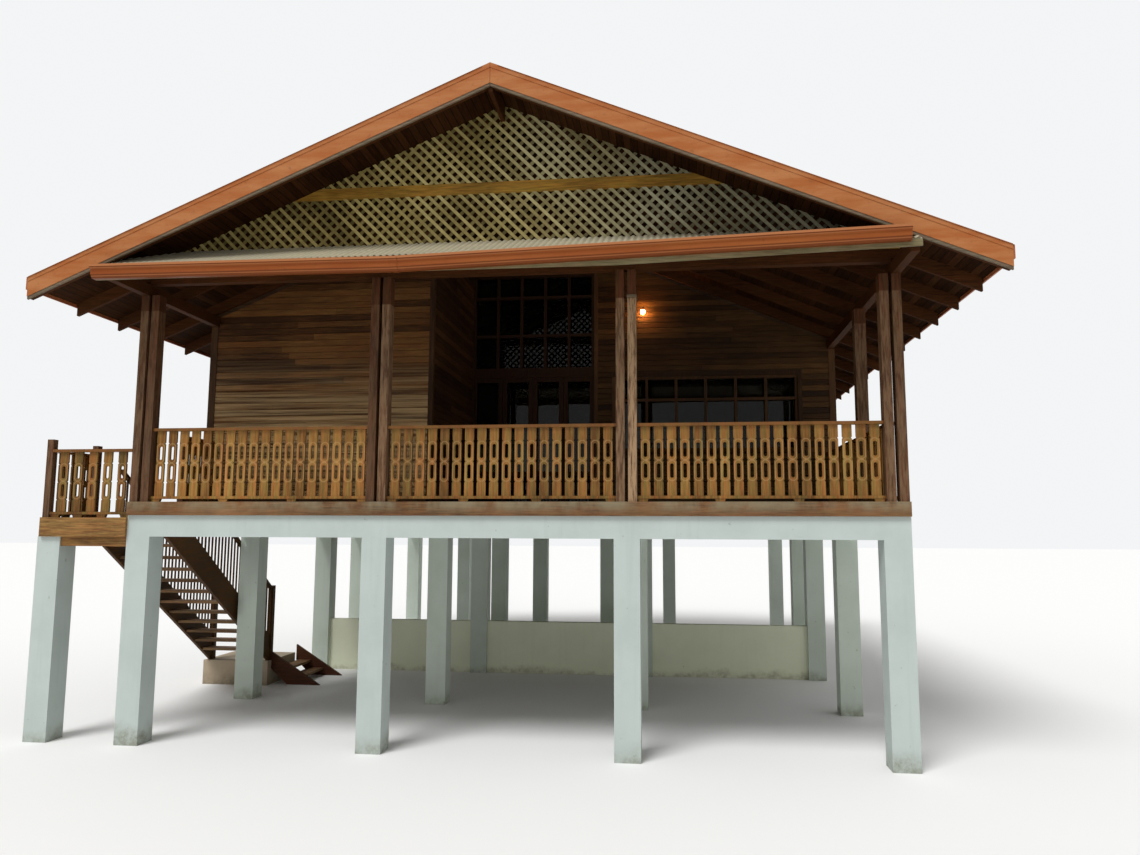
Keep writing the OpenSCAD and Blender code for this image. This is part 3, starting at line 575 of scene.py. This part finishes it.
LINING = wood(
    "roof_lining", (0.017, 0.0062, 0.0022), (0.052, 0.020, 0.007), (0.112, 0.048, 0.017), "Y",
    board=("X", 0.088, 0.0), joint=0.006, rough=(0.7, 0.9), sheen=0.04,
)
MIDDLE = wood(
    "gable_board_timber", (0.132, 0.069, 0.010), (0.395, 0.21, 0.032), (0.63, 0.37, 0.083), "X"
)
RAKE = wood("rake_trim_timber", (0.08, 0.058, 0.036), (0.20, 0.15, 0.10), (0.34, 0.27, 0.18), "X")
TERRA_TONES = ((0.30, 0.080, 0.026), (0.40, 0.145, 0.060), (0.11, 0.05, 0.025))
TERRA = sheet_metal("terracotta_paint", *TERRA_TONES)
# The troughs of its ribs get painted shade
TERRA_SHEET = sheet_metal(
    "terracotta_sheet_paint", *TERRA_TONES, stretch=(0.7, 2.5, 0.7),
    ribs=("Y", SHEET_START + HOUSE.y),
)
TERRA_TRIM = sheet_metal(
    "terracotta_trim_paint", (0.35, 0.105, 0.028), (0.43, 0.175, 0.065), (0.12, 0.05, 0.02),
    tone=0.0, stretch=(1.0, 1.0, 6.0), sheen=0.1,
)
# Painted shade and painted highlights along the folds of the gutter's profile
GUTTER_SHADE, GUTTER_HIGHLIGHT = (0.085, 0.018, 0.003), (0.46, 0.20, 0.085)
GUTTER = sheet_metal(
    "gutter_paint", (0.25, 0.057, 0.010), (0.31, 0.090, 0.019), (0.10, 0.036, 0.008), tone=0.0,
    rough=(0.4, 0.6), stretch=(0.5, 6.0, 9.0), sheen=0.15,
    folds=[
        (0.150, 0.018, 0.55, GUTTER_HIGHLIGHT), (0.127, 0.0055, 0.75, GUTTER_SHADE),
        (0.116, 0.0055, 0.35, GUTTER_HIGHLIGHT), (0.0365, 0.0055, 0.70, GUTTER_SHADE),
        (0.0245, 0.0055, 0.35, GUTTER_HIGHLIGHT), (0.005, 0.016, 0.55, GUTTER_SHADE),
    ],
)
BOARD_BEIGE = wood(
    "gutter_board_timber", (0.10, 0.075, 0.035), (0.24, 0.19, 0.10), (0.40, 0.33, 0.20), "X",
    patch=0.5,
)
BEIGE_TONES = ((0.47, 0.42, 0.29), (0.38, 0.34, 0.245), (0.21, 0.185, 0.125))
BEIGE = sheet_metal("beige_paint", *BEIGE_TONES)
# The troughs of its ribs get painted shade
BEIGE_SHEET = sheet_metal("beige_sheet_paint", *BEIGE_TONES, ribs=("X", HOUSE.x - PENT_HALF))


def dress(material, *names):
    for name in names:
        obj = nodes[name]
        obj.data.materials.clear()
        obj.data.materials.append(material)


def dress_railing(name, axis, panels, gap=RAIL_GAP, gain=1.0):
    """Railing boards, each with a tone of its own and painted highlight lines on the chamfered
    loops round its slots.

    panels lists (start, end, boards) of each panel, in house coordinates.
    gain scales the colours of a panel against the others.
    """
    tones = [tuple(gain * c for c in tone) for tone in RAIL_TONES]
    origin = HOUSE["XYZ".index(axis)]
    grid = [((b - a - gap) / count, a + gap / 2 + origin) for a, b, count in panels]
    box = Box(name)
    foot, top = box.z0 + RAIL_FOOT, box.z1 - HANDRAIL
    material = wood(
        name, *tones, "Z", board=(axis, *grid[0]), rough=(0.32, 0.5),
        next_board=grid[1] if len(grid) > 1 else None, spread=0.16, sheen=0.2, hue=1.0,
        carving=[foot + share * (top - foot) for share in CARVED_SHARES],
        cap=((0.17, 0.065, 0.018), top - 0.004),
    )
    dress(material, name)


dress(WHITE, "posts_row_1", "landing_post", "cross_beams", "long_beams")
dress(WHITE_PAINTED_BOUNCE, "posts_row_2", "posts_row_3", "posts_rear")
dress(LOW_WALL_PAINTED_BOUNCE, "low_wall")
dress(CEMENT, "lower_landing")
dress(JOIST, "floor_joists")
dress(DECK, "deck_floor")
dress(EDGE, "deck_edge_boards")
dress(LANDING, "landing_deck", "landing_edge")
dress(STAIR, "stair_stringers", "stair_railing_left", "stair_railing_right")
dress(TREAD_LIT, "stair_treads", "short_flight_treads")
dress(FLIGHT, "short_flight_stringers")
for name, gain in (("left", 1.22), ("middle", 1.0), ("right", 1.0)):
    rail = Box(f"railing_front_{name}")
    dress_railing(f"railing_front_{name}", "X", [(rail.x0, rail.x1, 18)], gain=gain)
rail = Box("landing_railing")
dress_railing("landing_railing", "X", [(rail.x0 + RAIL_END, rail.x1, 5)], LANDING_GAP, 0.92)
rail, post_end = Box("railing_sides"), Box("side_posts").y1
dress_railing(
    "railing_sides", "Y", [(rail.y0, post_end - SIDE_POST, 9), (post_end, rail.y1, 16)]
)
dress(POST, "veranda_posts", "side_posts")
dress(RAFTER, "side_plates", "front_beam", "rafters_left", "rafters_right", "ridge_board")
dress(WALL_CORE, "front_wall", "recess_side_wall", "recess_wall", "left_wall", "right_wall",
      "rear_wall")
dress(DARK_FRAME, "door_leaves", "glazing_frame")
dress(FRAME, "window_frames")
dress(glass(), "window_glass")
dress(LINING, "roof_left", "roof_right")
dress(TERRA, "ridge_cap", "eave_fascias")
dress(TERRA_TRIM, "bargeboards")
dress(GUTTER, "gutters")
dress(BEIGE, "pent_roofs")
dress(BOARD_BEIGE, "gutter_boards")
dress(MIDDLE, "gable_boards")
dress(lattice_wood(), "lattice_lower_left", "lattice_lower_right", "lattice_upper")
dress(lamp(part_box("wall_lamp")[0].y + BULB_REACH), "wall_lamp")

for name in ("posts_row_1", "posts_row_2", "posts_row_3", "posts_rear", "landing_post",
             "cross_beams", "low_wall", "lower_landing"):
    soften(nodes[name], 0.008, 2)
for name in ("veranda_posts", "side_posts", "stair_treads", "landing_deck"):
    soften(nodes[name], 0.004)


# Wall boards
FIRST_BOARD, NEXT_BOARD, SHORTEST_BOARD, BUTT = (0.9, 3.4), (1.9, 3.6), 0.7, 0.0008
THIN_STRIP, SHORT_STRETCH = 0.02, 0.01
CASING, INSIDE = 0.07, 0.004
# How far gable boards stay in from a plate's outer face, over its top and under the rafters
PLATE_IN, OVER_PLATE, UNDER_ROOF, UNDER_RIDGE = 0.105, 0.02, 0.05, 0.08
TRIM_W, NARROW_TRIM, TRIM_T, SKIRTING_H = 0.085, 0.05, 0.022, 0.09


def add_board(pieces, to_point, z0, z1, low, high):
    """One horizontal board; low and high are its ends at its lower and upper edge."""
    (a0, b0), (a1, b1) = low, high
    verts = [
        to_point(a0, z0, 0.0), to_point(b0, z0, 0.0),
        to_point(a0, z0 + GROOVE, BOARD_T), to_point(b0, z0 + GROOVE, BOARD_T),
        to_point(a1, z1 - GROOVE, BOARD_T), to_point(b1, z1 - GROOVE, BOARD_T),
        to_point(a1, z1, 0.0), to_point(b1, z1, 0.0),
    ]
    faces = [[0, 1, 3, 2], [2, 3, 5, 4], [4, 5, 7, 6], [0, 2, 4, 6], [1, 7, 5, 3], [0, 6, 7, 1]]
    pieces.add(verts, faces)


def clad(name, material, to_point, spans, z_top):
    """Covers a wall with boards. spans(z) gives the stretches of wall at a height."""
    pieces = Pieces(f"boards_{name}", "wall_timber", material)
    rows = int((z_top - FLOOR_Z) / BOARD_H)
    for j in range(rows + 1):
        z0 = FLOOR_Z + j * BOARD_H
        z1 = min(z0 + BOARD_H, z_top)
        if z1 - z0 < THIN_STRIP:
            continue
        low, high = spans(z0 + INSIDE), spans(z1 - INSIDE)
        if len(low) != len(high):
            low = high = spans((z0 + z1) / 2)
        for (a0, b0), (a1, b1) in zip(low, high):
            cuts = []
            x = a0 + rng.uniform(*FIRST_BOARD)
            while x < b0 - SHORTEST_BOARD:
                cuts.append(x)
                x += rng.uniform(*NEXT_BOARD)
            lows = [a0, *cuts, b0]
            highs = [a1, *cuts, b1]
            for i in range(len(lows) - 1):
                left = 0.0 if i == 0 else BUTT
                add_board(
                    pieces, to_point, z0, z1,
                    (lows[i] + left, lows[i + 1] - BUTT), (highs[i] + left, highs[i + 1] - BUTT),
                )
    pieces.make()


def without(spans, holes, z):
    """Takes the openings at height z out of the stretches of wall."""
    for a, b, z0, z1 in holes:
        if not z0 < z < z1:
            continue
        kept = []
        for u0, u1 in spans:
            if u0 < a:
                kept.append((u0, min(u1, a)))
            if u1 > b:
                kept.append((max(u0, b), u1))
        spans = kept
    return [s for s in spans if s[1] - s[0] > SHORT_STRETCH]


def gable_spans(x0, x1, holes):
    """The stretches of a wall that rises under the roof, between x0 and x1."""

    def spans(z):
        if z < PLATE_Z:
            reach = HALF_W
        elif z < PLATE_TOP + OVER_PLATE:
            reach = HALF_W - PLATE_IN
        else:
            reach = min(HALF_W - PLATE_IN, HALF_W - (z + UNDER_ROOF - PLATE_TOP) / SLOPE)
        a, b = max(x0, -reach), min(x1, reach)
        return without([(a, b)] if b > a else [], holes, z)

    return spans


def facing_front(y):
    return lambda u, z, d: (u, y - d, z)


def facing_back(y):
    return lambda u, z, d: (u, y + d, z)


def facing_side(x, sign):
    return lambda u, z, d: (x + sign * d, u, z)


def opening(a, b, z0, z1):
    """A window's hole in the boards, with room for its casing."""
    return (a - CASING, b + CASING, z0 - CASING, z1 + CASING)


ridge_top = rafter_under(0.0) - UNDER_RIDGE
clad(
    "front_wall", FRONT_WALL, facing_front(FRONT_WALL_Y), gable_spans(-HALF_W, RECESS_X, []),
    ridge_top,
)

# The hole of the doors reaches the recess's side wall and passes below the floor
holes = [
    (glazing.x0 - 0.01, glazing.x1 + CASING, FLOOR_Z - 0.1, glazing.z1 + CASING),
    opening(*FRONT_WINDOW, WINDOW_SILL, WINDOW_HEAD),
]
clad("recess_wall", RECESS_SHADED_BOARDS, facing_front(RECESS_Y), gable_spans(RECESS_X, HALF_W, holes), ridge_top)

holes = [opening(a, b, WINDOW_SILL, WINDOW_HEAD) for a, b in REAR_WINDOWS]
clad("rear_wall", WALL, facing_back(HOUSE_LEN), gable_spans(-HALF_W, HALF_W, holes), ridge_top)

clad(
    "recess_side", RECESS_SIDE_SHADED_BOARDS, facing_side(RECESS_X, 1),
    lambda z: [(FRONT_WALL_Y + NARROW_TRIM + 0.01, RECESS_Y - BOARD_T)],
    rafter_under(RECESS_X - WALL_T),
)

side_holes = [opening(a, b, WINDOW_SILL, WINDOW_HEAD) for a, b in SIDE_WINDOWS]
for name, sign, y0 in (("left", -1, FRONT_WALL_Y), ("right", 1, RECESS_Y)):
    clad(
        f"{name}_wall", WALL_SIDE, facing_side(sign * HALF_W, sign),
        lambda z, y0=y0: without([(y0, HOUSE_LEN)], side_holes, z), PLATE_Z,
    )


# Trims
STRIP, STRIP_TOP = 0.04, 7.1
SILL_OUT, SILL_SIDE, SILL_SHARE = 0.028, 0.02, 0.6
trims = Pieces("wall_trims", "wall_timber", TRIM)


def corner(x, y, side_x, side_y, top, w=TRIM_W):
    """Two boards that meet round an outer corner."""
    t = TRIM_T
    for dx, dy in (((t, -w), (0, t)), ((0, t), (0, -w))):
        xs, ys = sorted(x + side_x * d for d in dx), sorted(y + side_y * d for d in dy)
        trims.block(*xs, *ys, FLOOR_Z, top)


corner(-HALF_W, FRONT_WALL_Y, -1, -1, PLATE_Z)
corner(HALF_W, RECESS_Y, 1, -1, PLATE_Z)
corner(-HALF_W, HOUSE_LEN, -1, 1, PLATE_Z)
corner(HALF_W, HOUSE_LEN, 1, 1, PLATE_Z)
corner(RECESS_X, FRONT_WALL_Y, 1, -1, rafter_under(RECESS_X) - 0.03, NARROW_TRIM)
trims.block(
    RECESS_X + BOARD_T, RECESS_X + STRIP, RECESS_Y - STRIP, RECESS_Y - BOARD_T, FLOOR_Z, STRIP_TOP
)


def casing(to_point, a, b, z0, z1):
    """Boards round a window, with a sill that stands out."""
    w, t = CASING, TRIM_T
    for outline in (
        [(a - w, z0), (a, z0), (a, z1), (a - w, z1)],
        [(b, z0), (b + w, z0), (b + w, z1), (b, z1)],
        [(a - w, z1), (b + w, z1), (b + w, z1 + w), (a - w, z1 + w)],
    ):
        trims.prism(outline, to_point, -BOARD_T, t)
    left, right, foot = a - w - SILL_SIDE, b + w + SILL_SIDE, z0 - w * SILL_SHARE
    sill = [(left, foot), (right, foot), (right, z0), (left, z0)]
    trims.prism(sill, to_point, -BOARD_T, t + SILL_OUT)


casing(facing_front(RECESS_Y), *FRONT_WINDOW, WINDOW_SILL, WINDOW_HEAD)
for a, b in REAR_WINDOWS:
    casing(facing_back(HOUSE_LEN), a, b, WINDOW_SILL, WINDOW_HEAD)
for sign in (-1, 1):
    for a, b in SIDE_WINDOWS:
        casing(facing_side(sign * HALF_W, sign), a, b, WINDOW_SILL, WINDOW_HEAD)
side, top = glazing.x1 + CASING, glazing.z1 + CASING
trims.block(glazing.x1, side, RECESS_Y - TRIM_T, RECESS_Y, FLOOR_Z, top)
trims.block(glazing.x0 + STRIP, glazing.x1, RECESS_Y - TRIM_T, RECESS_Y, glazing.z1, top)
for x0, x1, y in ((-HALF_W, RECESS_X, FRONT_WALL_Y), (side, HALF_W, RECESS_Y)):
    trims.block(x0, x1, y - TRIM_T, y, FLOOR_Z, FLOOR_Z + SKIRTING_H)
trims.make(bevel=0.003)

# A collar covers the joint in the right post of the third pair
SPLICE_X, SPLICE_Y, SPLICE_Z = (0.012, 0.133), (-0.008, 0.155), (5.495, 5.530)
splice = Pieces("post_splice", "deck_timber", RAKE)
splice.block(*(PAIR_X[2] + x for x in SPLICE_X), *SPLICE_Y, *SPLICE_Z)
splice.make(bevel=0.003)


# Roof sheets
RIB_STEPS, SECOND_LIFT = 8, 0.0006


def corrugated(name, slot, material, u_range, rows, place, depth, cover, start=None):
    """Corrugated sheets. u runs across the ribs; place(u, s, h) gives a point.

    rows is a list of (s0, s1, lift): stretches down the slope and their lift over the next.
    cover is about how wide a sheet is, without the half rib by which it laps the next.
    Every second sheet lies a little higher.
    start(u) is how far down the slope a sheet begins, where the roof above cuts it.
    """
    sheets = Pieces(name, slot, material)
    u0, u1 = u_range
    width = round(cover / RIB_PITCH) * RIB_PITCH
    count = max(1, math.ceil((u1 - u0) / width))
    for s0, s1, lift in rows:
        for k in range(count):
            a = u0 + k * width
            b = min(u1, a + width + (RIB_PITCH * 0.5 if k < count - 1 else 0.0))
            cells = max(2, round((b - a) / RIB_PITCH * RIB_STEPS))
            rise = lift + SECOND_LIFT * (k % 2)
            verts, faces = [], []
            for i in range(cells + 1):
                u = a + (b - a) * i / cells
                h = rise + depth / 2 * (1 - math.cos(2 * math.pi * (u - u0) / RIB_PITCH))
                top = max(s0, start(u)) if start else s0
                verts += [place(u, top, h), place(u, s1, h)]
            for i in range(cells):
                faces.append([2 * i, 2 * i + 1, 2 * i + 3, 2 * i + 2])
            sheets.add(verts, faces)
    sheets.make(smooth=True)


def slope_place(side):
    """A point on a roof slope: u along the ridge, s down the slope, h above the deck."""
    normal = Vector((side * math.sin(ROOF_PITCH), 0, COS_ROOF))

    def place(u, s, h):
        x = side * s * COS_ROOF
        return Vector((x, u, deck_over(s * COS_ROOF))) + normal * h

    return place


def rake_trim(pieces, y0, y1, side, below, depth):
    """A board along a sloping edge of the roof; below is its distance under the roof's top."""
    ends = (0.002, ROOF_HALF)
    outline = [(side * x, deck_over(x) - below) for x in ends]
    outline += [(side * x, deck_over(x) - below - depth) for x in reversed(ends)]
    pieces.prism(outline, lambda u, v, w: (u, w, v), y0, y1)


rakes = Pieces("rake_trims", "olive_timber", RAKE)
flashings = Pieces("rake_flashings", "terracotta_sheet", TERRA_TRIM)
# Each row says how far a board reaches in and out from the roof's end, how deep under the
# roof's top it begins, and its own depth
RAKE_BOARDS = (
    (rakes, 0.038, -0.008, BARGE_V - 0.004, 0.040),
    (flashings, 0.002, 0.006, -0.006, 0.055),
    (flashings, 0.085, 0.006, -0.012, 0.006),
)
for y, out in ((FRONT_EDGE, -1), (REAR_EDGE, 1)):
    for side in (-1, 1):
        for pieces, inward, outward, below, depth in RAKE_BOARDS:
            y0, y1 = sorted((y - out * inward, y + out * outward))
            rake_trim(pieces, y0, y1, side, below, depth)
rakes.make(bevel=0.002)
flashings.make()

UPPER_SHEET, LOWER_SHEET = (0.10, 3.30, 0.0035), (3.20, ROOF_HALF / COS_ROOF + 0.012, 0.001)
for name, side in (("left", -1), ("right", 1)):
    corrugated(
        f"roof_sheets_{name}", "terracotta_sheet", TERRA_SHEET,
        (SHEET_START, REAR_EDGE + SHEET_EDGE), [UPPER_SHEET, LOWER_SHEET],
        slope_place(side), depth=0.009, cover=0.76,
    )

GABLE_T = -Box("gable_boards").y0
PENT_TOP = pent.z1
PENT_REACH, PENT_DROP = -pent.y0 - GABLE_T, pent.z1 - pent.z0 - GABLE_T
pent_len = math.hypot(PENT_REACH, PENT_DROP)


def pent_place(back):
    """A point on the small roof: u along it, s down from its top, h above it."""
    sin_p, cos_p = PENT_DROP / pent_len, PENT_REACH / pent_len

    def place(u, s, h):
        y = -GABLE_T - s * cos_p - h * sin_p
        z = PENT_TOP - s * sin_p + h * cos_p
        return Vector((u, HOUSE_LEN - y if back else y, z))

    return place


def pent_start(u):
    """How far down its slope the small roof comes out from under the main one."""
    covered = PENT_TOP + 0.03 - rafter_under(u) - RAFTER_V
    return max(0.0, covered) * pent_len / PENT_DROP


for name, back in (("front", False), ("rear", True)):
    corrugated(
        f"pent_sheets_{name}", "beige_sheet", BEIGE_SHEET, (-PENT_HALF, PENT_HALF),
        [(0.0, pent_len + SHEET_EDGE, 0.001)], pent_place(back), depth=0.016, cover=0.80,
        start=pent_start,
    )


# Camera and light
YAW, PITCH, ROLL = (math.radians(angle) for angle in (6.76, 6.76, 0.21))
EYE = Vector((2.084, -10.252, 2.673))
FOCAL_PX, PHOTO_W, SENSOR = 857.37, 1140, 36.0
SUN_PLACE, SUN_AIM = Vector((-6.0, -12.0, 22.0)), Vector((0.0, 0.0, 2.0))


def camera():
    """Stands where the photograph was taken, a little right of the middle, looking up."""
    level = Vector((-math.sin(YAW), math.cos(YAW), 0.0))
    forward = level * math.cos(PITCH) + Vector((0.0, 0.0, math.sin(PITCH)))
    right = Vector((math.cos(YAW), math.sin(YAW), 0.0))
    up = right.cross(forward)
    x_axis = right * math.cos(ROLL) + up * math.sin(ROLL)
    y_axis = up * math.cos(ROLL) - right * math.sin(ROLL)
    data = bpy.data.cameras.new("camera")
    data.sensor_width = SENSOR
    data.lens = FOCAL_PX / PHOTO_W * SENSOR
    data.clip_end = 500.0
    obj = add_object("camera", data)
    turn = Matrix((x_axis, y_axis, -forward)).transposed()
    obj.matrix_world = Matrix.Translation(HOUSE + EYE) @ turn.to_4x4()
    bpy.context.scene.camera = obj


def sun():
    """Soft light from high in front of the house, on the left."""
    data = bpy.data.lights.new("high_light", "SUN")
    data.energy = 2.2
    data.angle = math.radians(25)
    obj = add_object("high_light", data)
    obj.location = SUN_PLACE
    obj.rotation_mode = "QUATERNION"
    obj.rotation_quaternion = (SUN_AIM - SUN_PLACE).to_track_quat("-Z", "Y")


def world():
    """An even grey sky that shows as white to the camera and through glass."""
    sky = bpy.data.worlds.new("sky")
    bpy.context.scene.world = sky
    sky.use_nodes = True
    tree = sky.node_tree
    tree.nodes.clear()
    light, seen = (tree.nodes.new("ShaderNodeBackground") for _ in range(2))
    light.inputs["Color"].default_value = (1.0, 1.0, 1.0, 1.0)
    light.inputs["Strength"].default_value = 0.56
    seen.inputs["Color"].default_value = (0.90, 0.91, 0.92, 1.0)
    seen.inputs["Strength"].default_value = 1.0
    path = tree.nodes.new("ShaderNodeLightPath")
    either = tree.nodes.new("ShaderNodeMath")
    either.operation = "MAXIMUM"
    mix = tree.nodes.new("ShaderNodeMixShader")
    out = tree.nodes.new("ShaderNodeOutputWorld")
    for source, socket in (
        (path.outputs["Is Camera Ray"], either.inputs[0]),
        (path.outputs["Is Transmission Ray"], either.inputs[1]),
        (either.outputs[0], mix.inputs[0]),
        (light.outputs[0], mix.inputs[1]),
        (seen.outputs[0], mix.inputs[2]),
        (mix.outputs[0], out.inputs[0]),
    ):
        tree.links.new(source, socket)


def floor():
    """A plain pale floor, with nothing on it but the shadow."""
    size = 120.0
    mesh = bpy.data.meshes.new("floor")
    mesh.from_pydata(
        [(-size, -size, 0), (size, -size, 0), (size, size, 0), (-size, size, 0)], [], [(0, 1, 2, 3)]
    )
    mesh.materials.append(Nodes("floor").finish((0.88, 0.88, 0.87, 1.0), 0.9, specular=0.1))
    obj = add_object("floor", mesh)
    obj.location.z = -0.001


camera()
world()
floor()
sun()
bpy.context.scene.view_settings.view_transform = "Standard"
